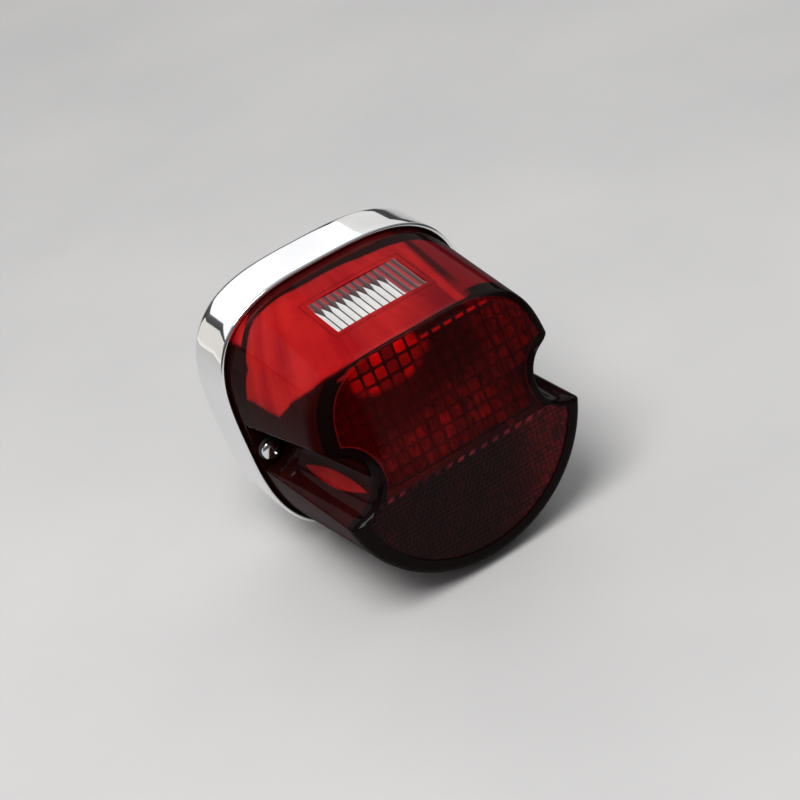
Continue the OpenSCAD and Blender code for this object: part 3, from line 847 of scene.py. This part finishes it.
def spring():
    """The spring under the contact carrier."""
    wire, low_end = 0.45, SOCKET_Z + 0.8
    path = coil(5.6, 5, 40, low_end + wire, CARRIER_Z - wire, BULB_AT)
    piece = place(make("contact_coil", *tube(path, wire), angle=60), "base", zinc, "contact_spring")
    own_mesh(piece)


# ------------------------------------------------------------------ carrier and bulb
def carrier():
    """The insulating disc that carries two contact buttons."""
    z, top = CARRIER_Z, CARRIER_Z + CARRIER_T
    disc = make("insulator", *rod(SOCKET_IN - 0.2, z, top, BULB_AT, 0.35, 72))
    boolean(disc, [rod(0.8, z - 1, top + 1, at, 0, 24) for at in CONTACTS])
    place(disc, "carrier", phenolic, "contact_carrier")
    profile = [(0, z), (0.79, z), (0.79, top + 0.001), (1.7, top + 0.001), (1.8, top + 0.15),
               (1.6, top + 0.55), (1.0, top + 0.75), (0, top + 0.8)]
    buttons = [turned(profile, at, 32) for at in CONTACTS]
    place(make("button_pair", *joined(*buttons)), "carrier", brass, "contact_buttons")


def glass_wall(d):
    """Half of the glass's outline, shrunk by d: neck, shoulder curve, round top."""
    g, neck = GLASS_R - d, CAP_R - 0.8 - d
    ball = [(g * math.cos(a), GLASS_MID + g * math.sin(a))
            for a in np.linspace(math.radians(-30), math.pi / 2, 26)[:-1]]
    p0, p3 = (neck, GLASS_Z + 1), ball[0]
    p1, p2 = (neck, GLASS_Z + 4), (p3[0] - 2.2, p3[1] - 3.4)
    curve = []
    for t in np.linspace(0, 1, 9)[:-1]:
        w = ((1 - t) ** 3, 3 * t * (1 - t) ** 2, 3 * t * t * (1 - t), t ** 3)
        curve.append(tuple(sum(wi * p[i] for wi, p in zip(w, (p0, p1, p2, p3))) for i in (0, 1)))
    return [(neck, GLASS_Z - 6 + d), *curve, *ball, (0, GLASS_MID + g)]


def bulb():
    """The twin-filament bulb: cap, pins, solder tips, glass, stem, support wires and filaments."""
    z, top, r = CAP_Z, GLASS_Z, CAP_R
    outer = [(0, z + 0.02), (4.5, z + 0.02), (6.2, z + 0.35), (r - 0.35, z + 1.3), (r, z + 2.2),
             (r, top - 3.0), (r - 0.35, top - 2.5), (r - 0.35, top - 2.0), (r, top - 1.5), (r, top - 0.5),
             (r - 0.12, top - 0.05), (r - 0.45, top - 0.02), (r - 0.6, top - 0.3), (r - 0.6, z + 2.6),
             (0, z + 2.2)]
    cap = make("brass_cap", *turned(outer, BULB_AT, 96))
    boolean(cap, [rod(1.2, z - 1, z + 4, at, 0, 24) for at in CONTACTS])
    place(cap, "bulb", brass, "bulb_cap")

    pin = turned([(0, 0.01), (1.0, 0.01), (1.0, 1.0), (0.8, 1.25), (0, 1.3)], steps=24)
    pins = [moved(pin, (s * r, BULB_U, level), Matrix.Rotation(math.radians(90 * s), 4, "Y"))
            for s, level in ((1, z + 9.5), (-1, z + 6.5))]
    place(make("bayonet_pins", *joined(*pins)), "bulb", brass, "bulb_pins")

    tip_r = 1.19
    drop = [(tip_r * math.cos(a), z - 0.4 - 0.6 * math.sin(a)) for a in np.linspace(0.3, 1.4, 5)]
    tip = [(0, z + 2), (tip_r, z + 2), (tip_r, z - 0.4), *drop, (0, z - 1)]
    tips = [turned(tip, at, 24) for at in CONTACTS]
    place(make("solder_tips", *joined(*tips)), "bulb", solder, "bulb_tips")

    foot = top - 6 + GLASS_T
    glass = make("glass_envelope", *turned([(0, top - 6)] + glass_wall(0), BULB_AT, 96))
    boolean(glass, [turned([(0, foot)] + glass_wall(GLASS_T), BULB_AT, 96)], angle=50, solver="EXACT")
    place(glass, "bulb", bulb_clear, "bulb_glass")

    stem = [(0, 0), (4.3, 0), (4.6, 0.4), (4.4, 2.2), (3.4, 3), (2.6, 4.2), (2.5, 9.5), (2.6, 12.0),
            (2.2, 12.9), (0, 13.2)]
    stem = [(radius, foot + n) for radius, n in stem]
    place(make("glass_stem", *turned(stem, BULB_AT, 48), angle=60), "bulb", bulb_clear, "bulb_stem")

    posts = [tube([(x, BULB_U + du, top + 8 + high * t) for t in (0, 0.3, 0.6, 0.9, 0.97, 1)], 0.3, 12)
             for x in (-2.1, 2.1) for du, high in ((0, 12), (RUNNING_U, 7))]
    place(make("support_wires", *joined(*posts), angle=60), "bulb", zinc, "filament_posts")
    for name, node, level, du in (("brake_coil", "brake_filament", top + 20.4, 0),
                                  ("running_coil", "running_filament", top + 15.4, RUNNING_U)):
        path = coil(0.28, 14, 12, -2.58, 2.58, (BULB_U + du, level), True)
        place(make(name, *tube(path, 0.1, 6), angle=80), "bulb", tungsten, node)


# ------------------------------------------------------------------ lens
def lens_angles():
    """Directions round the lens, closer together at the screw channels and the corners."""
    edges = np.linspace(-90, 90, 7201)
    density = 1 + sum(more * np.exp(-((edges - mid) / width) ** 2)
                      for more, mid, width in ((3.0, 20, 5), (3.0, -12, 5), (1.2, 46, 14)))
    run = np.concatenate([[0], np.cumsum(density[1:])])
    right = np.interp(np.linspace(0, run[-1], 261), run, edges)
    right[int(np.argmin(abs(right)))] = 0.0
    return np.radians(np.concatenate([right, 180 - right[-2:0:-1]]))


PHI = lens_angles()
COS, SIN = np.cos(PHI), np.sin(PHI)


def skirt_radius(d):
    """Distance from the middle to the base's outline grown by d, in each direction."""
    x, u = np.array([outline_at(d, a) for a in np.linspace(-math.pi / 2, math.pi / 2, 6001)]).T
    return np.interp(np.arctan2(SIN, abs(COS)), np.arctan2(u, x), np.hypot(x, u))


def face_radius(g, high):
    """The face's edge, grown by g to the sides and by high at its top: a rounded square above the
    middle and a round arc below it. The two meet inside the screw channels."""
    p = BROW_POWER
    top = ((abs(COS) / (BROW_W + g)) ** p + (np.maximum(SIN, 1e-6) / (BROW_H + high)) ** p) ** (-1 / p)
    t = np.clip((SIN + 0.02) / 0.24, 0, 1)
    t = t * t * (3 - 2 * t)
    return np.where(SIN > 0.22, top, (FACE_R + g) * (1 - t) + top * t)


def face_level(u):
    """The face's level at height u: upright below the middle, slanting back above it."""
    return FACE - BROW_BACK * np.maximum(0, u) / BROW_H


def soft_min(a, b, r):
    """The smaller of a and b, rounded where they meet."""
    h = np.clip(0.5 + 0.5 * (b - a) / r, 0, 1)
    return b * (1 - h) + a * h - r * h * (1 - h)


def notched(radius, n, extra, soft):
    """radius cut back where the screw channel passes level n, the channel grown by extra."""
    t = (n - CHANNEL_Z) / (FACE + 1 - CHANNEL_Z)
    cx = CHANNEL_0[0] + (CHANNEL_1[0] - CHANNEL_0[0]) * t
    cu = CHANNEL_0[1] + (CHANNEL_1[1] - CHANNEL_0[1]) * t
    rho = CHANNEL_R0 + (CHANNEL_R1 - CHANNEL_R0) * t + extra
    along = cx * abs(COS) + cu * SIN
    across = abs(cu * abs(COS) - cx * SIN)
    inside = along - np.sqrt(np.maximum(rho ** 2 - across ** 2, 0))
    wall = np.where(across < rho, inside, along + 5.0 * (across - rho))
    return soft_min(radius, np.where(along > 0, wall, 1e3), soft)


def lens_rings(shrink):
    """Rings of the lens's surface from its skirt to the middle of its face, shrunk by shrink: 0 for the
    outside, the wall's thickness for the inside."""
    base = skirt_radius(-SKIRT_IN - shrink)
    grown = face_radius(ROLL - shrink, BROW_ROLL - shrink)
    flat = face_radius(-shrink, -shrink)
    floor = CHANNEL_Z - shrink
    top_n = face_level(grown * SIN) - ROLL
    rings = []

    def ring(radius, n):
        rings.append(np.c_[radius * COS, radius * SIN, np.broadcast_to(n, PHI.shape)])

    def on_face(radius, back):
        ring(radius, face_level(radius * SIN) - back)

    def full(n):
        return base + (grown - base) * (n - RIM) / (top_n - RIM)

    ring(base, SKIRT)
    ring(base, RIM)
    ring(full(floor - 0.5), floor - 0.5)
    ring(full(floor - 0.02), floor - 0.02)
    ring(notched(full(floor), floor, shrink + 0.35, 0.6), floor)
    ring(notched(full(floor + 0.4), floor + 0.4, shrink, 0.8), floor + 0.4)
    for t in np.linspace(0.04, 1, 22):
        n = floor + 0.4 + (top_n - floor - 0.4) * t
        ring(notched(full(n), n, shrink, 0.8 + 1.6 * t), n)
    if shrink > 0:
        r = notched(grown, face_level(grown * SIN) - shrink, shrink, 2.4)
        for s in (1.0, 0.9, 0.6, 0.3, 0.08):
            on_face(r * s, shrink)
        return rings
    for a in np.radians(np.linspace(15, 90, 6)):
        back = ROLL * (1 - math.sin(a))
        r = flat + (grown - flat) * math.cos(a)
        edge = notched(r, face_level(r * SIN) - back, 1.6 * (1 - math.cos(a)), 2.4)
        on_face(edge, back)
    sunk = 1 - np.clip((SIN - 0.1) / 0.5, 0, 1) * np.clip(0.9 - COS, 0, 1)
    for inset, back in ((1.2, 0.0), (1.9, 0.12), (2.3, 0.45), (3.2, 0.5)):
        on_face(edge - inset, back * sunk)
    for s in (0.85, 0.6, 0.3, 0.08):
        on_face((edge - 3.2) * s, 0.5 * sunk)
    return rings


def on_slope(x, along, out):
    """A bench point on the lens's sloping top: x across, along down the slope, out of the surface."""
    u = HALF_H - SKIRT_IN - WINDOW_N * math.tan(SLOPE)
    return (x, u - along * math.sin(SLOPE) + out * math.cos(SLOPE),
            RIM + WINDOW_N + along * math.cos(SLOPE) + out * math.sin(SLOPE))


def slope_block(w, h, o0, o1):
    """A box w wide and h long on the lens's sloping top, from o0 to o1 out of its surface."""
    verts, faces = block(-w / 2, w / 2, -h / 2, h / 2, o0, o1)
    return [on_slope(*v) for v in verts], faces


def reflex_outline(r, top, gap):
    """The half-round panel's outline: below a line, inside an arc, clear of the screw channels by gap."""
    cx, cu, rho = *CHANNEL_1, CHANNEL_R1 + gap
    points = [(r * math.cos(a), r * math.sin(a)) for a in np.linspace(-math.pi, 0, 241)]
    points = [(x, u) for x, u in points if u < -top and math.hypot(abs(x) - cx, u - cu) >= rho]
    x, u = points[-1]
    start, end = math.atan2(u - cu, x - cx), -math.pi + math.asin(min(1, (cu + top) / rho))
    side = [(cx + rho * math.cos(a), cu + rho * math.sin(a)) for a in np.linspace(start, end, 14)]
    return points + side[1:] + [(-x, u) for x, u in side[::-1]][:-1]


def prism_edge(x, u):
    """1 on the edge of the prism field's rounded square, less inside it."""
    p = BROW_POWER
    return ((abs(x) / PRISM_W) ** p + (max(u, 0) / PRISM_H) ** p) ** (1 / p)


def prism_area(x, u):
    """How far inside the slanted face's prism field a point lies, in millimetres."""
    side = math.hypot(abs(x) - CHANNEL_1[0], u - CHANNEL_1[1]) - PRISM_NOTCH
    return min((1 - prism_edge(x, u)) * PRISM_W, side)


def kept_inside(x, u):
    """A point of a prism cell pulled in to the field's edge if it lies past it."""
    edge = max(1, prism_edge(x, u))
    x, u = x / edge, u / edge
    dx, du = abs(x) - CHANNEL_1[0], u - CHANNEL_1[1]
    grow = max(1, PRISM_NOTCH / math.hypot(dx, du))
    if grow > 1:
        x, u = math.copysign(CHANNEL_1[0] + dx * grow, x), CHANNEL_1[1] + du * grow
    return x, u


def pillows(spots, lift, sub, sink):
    """Prism cells at (x, u, height share): each a small pillow of sub by sub faces, standing lift in front
    of its edge, which lies sink behind the face's level."""
    parts, half, k = [], PRISM / 2, sub + 1
    rim = list(range(k)) + [k * j + sub for j in range(1, k)]
    rim += [k * sub + i for i in range(sub - 1, -1, -1)] + [k * j for j in range(sub - 1, 0, -1)]
    m = len(rim)
    grid = np.linspace(-1, 1, k)
    for cx, cu, high in spots:
        verts = []
        for j in grid:
            for i in grid:
                x, u = kept_inside(cx + i * half, cu + j * half)
                dome = (1 - abs(i) ** 2.6) * (1 - abs(j) ** 2.6)
                verts.append((x, u, face_level(u) - sink + lift * dome * high))
        faces = [(a, a + 1, a + k + 1, a + k) for j in range(sub) for a in range(j * k, j * k + sub)]
        base = len(verts)
        verts += [(verts[i][0], verts[i][1], face_level(verts[i][1]) - sink - 0.5) for i in rim]
        faces += [(rim[i], rim[(i + 1) % m], base + (i + 1) % m, base + i) for i in range(m)]
        faces.append(tuple(range(base, base + m))[::-1])
        parts.append((verts, faces))
    return joined(*parts)


def lens():
    """The lens's shell, with its screw posts, the pocket for the reflex panel and the window's opening."""
    body = make("red_lens", *loft(lens_rings(LENS_T)[::-1] + lens_rings(0.0)))
    posts = [rod(BOSS_R, SKIRT + 0.01, CHANNEL_Z - 1.2, at) for at in SCREWS.values()]
    boolean(body, posts, "UNION", 28)
    panel = reflex_outline(PANEL_R, PANEL_TOP, 2)
    cuts = [rod(SCREW_BORE, SKIRT - 1, CHANNEL_Z + 1, at, 0, 32) for at in SCREWS.values()]
    cuts += [slope_block(WINDOW_W + 0.4, WINDOW_H + 0.4, -WINDOW_T - 3, 4),
             loft([[(x, u, n) for x, u in panel] for n in (FACE - PANEL_T - 0.01, FACE + 2)])]
    for c in cuts:
        boolean(body, [c], angle=28)
    place(body, "lens", red_glass, "lens_shell")


def window():
    """Clear panel with round flutes on both sides, running down the slope."""
    per, w, h = 8, WINDOW_W, WINDOW_H
    count = FLUTES * per
    rows = []
    for s in np.linspace(-h / 2, h / 2, 13):
        end = min(1.0, (h / 2 - abs(s)) / 1.2)
        upper, lower = [], []
        for i in range(count + 1):
            x = -w / 2 + w * i / count
            crown = math.sqrt(max(0.0, 1 - (2 * (i % per) / per - 1) ** 2))
            upper.append((x, s, -0.35 - 0.5 * (1 - crown) * end))
            lower.append((x, s, -WINDOW_T + 0.35 * (1 - crown) * end))
        rows.append([on_slope(*p) for p in upper + lower[::-1]])
    pane = make("fluted_window", *loft(rows), angle=50)
    place(pane, "lens", clear_plastic, "plate_window")


def prisms():
    """The moulded cells on the slanted face."""
    spots = []
    for j in range(9):
        for i in range(-9, 9):
            x, u = (i + 0.5) * PRISM, (j + 0.5) * PRISM + PRISM_LOW
            if prism_area(x, u) > 0.4:
                spots.append((x, u, random.uniform(0.8, 1.1)))
    body = make("prism_field", *pillows(spots, lift=0.6, sub=8, sink=1.75), angle=60)
    place(body, "lens", prism_red, slot="red_lens")


def within(poly, x, u):
    """Whether a point lies inside a closed outline."""
    a, b = poly, np.roll(poly, -1, axis=0)
    hit = ((a[:, 1] > u) != (b[:, 1] > u)) & (
        x < (b[:, 0] - a[:, 0]) * (u - a[:, 1]) / (b[:, 1] - a[:, 1] + 1e-12) + a[:, 0])
    return hit.sum() % 2 == 1


def corner_cube(x, u, r):
    """One reflex cell: a hexagon raised to a point over three square faces."""
    def around(share, degrees, n):
        a = math.radians(degrees)
        return (x + r * share * math.cos(a), u + r * share * math.sin(a), n)
    verts = [around(1, 30 + 60 * i, FACE - 0.76) for i in range(6)] + [(x, u, FACE - 0.2)]
    verts += [around(0.5, 30 + 120 * i, FACE - 0.62) for i in range(3)]
    faces = []
    for i in range(3):
        low, mid, after = 2 * i, 7 + i, 7 + (i + 1) % 3
        faces += [(low, (low + 1) % 6, mid), ((low + 5) % 6, low, mid), (mid, (low + 1) % 6, after, 6)]
    return verts, faces + [tuple(range(6))[::-1]]


def reflex():
    """The half-round reflex panel with its cells, and the plate behind it."""
    step = REFLEX_CELL * math.sqrt(3) / 2
    outline = reflex_outline(PANEL_R - 0.05, PANEL_TOP + 0.05, 2.05)
    parts = [loft([[(x, u, n) for x, u in outline] for n in (FACE - PANEL_T, FACE - 0.75)])]
    inside = np.array(reflex_outline(PANEL_R - 1.6, PANEL_TOP + 1.6, 3.6))
    for j in range(int(PANEL_R / step) + 1):
        for i in range(-24, 25):
            x, u = (i + 0.5 * (j % 2)) * REFLEX_CELL, -PANEL_TOP - 2.2 - j * step
            if within(inside, x, u):
                parts.append(corner_cube(x, u, REFLEX_CELL / math.sqrt(3) * 0.96))
    place(make("reflex_panel_cells", *joined(*parts), angle=25), "lens", reflex_red, "reflex_panel")
    n0 = FACE - LENS_T - 1
    back = reflex_outline(FACE_R - 5, PANEL_TOP + 3, LENS_T + 2)
    rows = [[(x * s, (u + 25) * s - 25, n) for x, u in back]
            for s, n in ((0.992, n0), (1, n0 + 0.3), (1, n0 + 0.7), (0.992, n0 + 1))]
    place(make("reflex_back_plate", *loft(rows)), "lens", grey, "reflex_backing")


def washers_and_screws():
    """A rubber washer and a chromed screw at the foot of each channel."""
    z, bore, seat = CHANNEL_Z, SCREW_R + 0.07, CHANNEL_Z + WASHER_T
    low, high = z + 0.005, seat - 0.005
    profile = [(bore, z + 0.15), (2.7, low), (WASHER_R - 0.3, low), (WASHER_R, z + 0.3), (WASHER_R, z + 0.7),
               (WASHER_R - 0.3, high), (2.7, high), (bore, z + 0.85)]
    for side, at in SCREWS.items():
        place(make(f"{side}_washer_ring", *turned(profile, at, 64, True), angle=60), f"{side}_washer",
              rubber, f"{side}_screw_washer")
        screws(f"{side}_screw_body", f"{side}_screw", screw_chrome, f"{side}_lens_screw",
               [(SCREW_R, SCREW_HEAD_R, seat - LEDGE + SCREW_END, SCREW_HEAD_T, at, seat, 1.0)], slot="chrome")


for build in (chrome_tub, fender_pad, studs, inserts, grommet, terminals, ground, seal, dish, spring, carrier,
              bulb, lens, window, prisms, reflex, washers_and_screws):
    build()

# The socket's own CAD shape is right, with its bayonet slots; it only gets its metal.
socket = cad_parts["socket_shell"]
socket.data.materials.clear()
socket.data.materials.append(zinc)

# ------------------------------------------------------------------ stage, light and camera
k = Nodes("floor")
floor_colour = k.spread(k.noise(6, 4), (0.62, 0.61, 0.605), (0.68, 0.67, 0.66))
floor_mat = k.finish(k.principled(Base_Color=floor_colour, Roughness=k.spread(k.noise(300, 2), 0.6, 0.75)))
bm = bmesh.new()
bmesh.ops.create_circle(bm, cap_ends=True, radius=6, segments=128)
mesh = bpy.data.meshes.new("floor")
bm.to_mesh(mesh)
bm.free()
mesh.materials.append(floor_mat)
floor = add_object("floor", mesh)
floor.location = (0, 0, cad_box[0][2] - 0.1 * MM)


def area_light(name, at, aim, size, power, colour=(1, 1, 1)):
    """A rectangular light, size in metres and power in watts, turned towards a point."""
    data = bpy.data.lights.new(name, "AREA")
    data.shape, data.size, data.size_y = "RECTANGLE", size[0], size[1]
    data.energy, data.color = power, colour
    obj = add_object(name, data)
    obj.location = at
    obj.rotation_euler = (Vector(aim) - Vector(at)).to_track_quat("-Z", "Y").to_euler()


area_light("key", (-0.35, -0.40, 1.05), (0, -0.04, 0), (0.6, 0.6), 10.5)
area_light("back", (-0.2, 1.2, 0.89), (0, 0, 0.02), (2.0, 0.6), 3.8)
area_light("right", (1.0, 1.0, 0.80), (0, 0, 0.02), (1.1, 1.25), 3.2, (1.0, 0.99, 0.97))
area_light("left", (-0.98, 0.85, 0.19), (-0.05, -0.02, 0.0), (1.1, 0.49), 1.25, (1.0, 0.96, 0.90))

# The world is darkest at the horizon and brightest overhead.
k = Nodes("studio", world=True)
height = Value(k, k.add("SeparateXYZ", Vector=k.place).outputs["Z"])
sky = k.ramp(height, (0.10, 0.10, 0.103), (0.78, 0.79, 0.81), 0.3, 0.95)
bpy.context.scene.world = k.finish(k.add("Background", Color=sky, Strength=0.6))

# The camera stands above the light's left front, turned a little so that the light leans left.
back = Vector((-0.3357, -0.7917, 0.5104)).normalized()
up = Vector((0.4710, 0.3280, 0.8188))
up = (up - back * up.dot(back)).normalized()
right = up.cross(back)
cam_data = bpy.data.cameras.new("camera")
cam_data.sensor_width, cam_data.lens = 36.0, 99.5
cam = add_object("camera", cam_data)
cam.matrix_world = Matrix(((right.x, up.x, back.x, -0.2916), (right.y, up.y, back.y, -0.7443),
                           (right.z, up.z, back.z, 0.4444), (0, 0, 0, 1)))
bpy.context.scene.camera = cam
bpy.context.scene.view_settings.view_transform = "Standard"
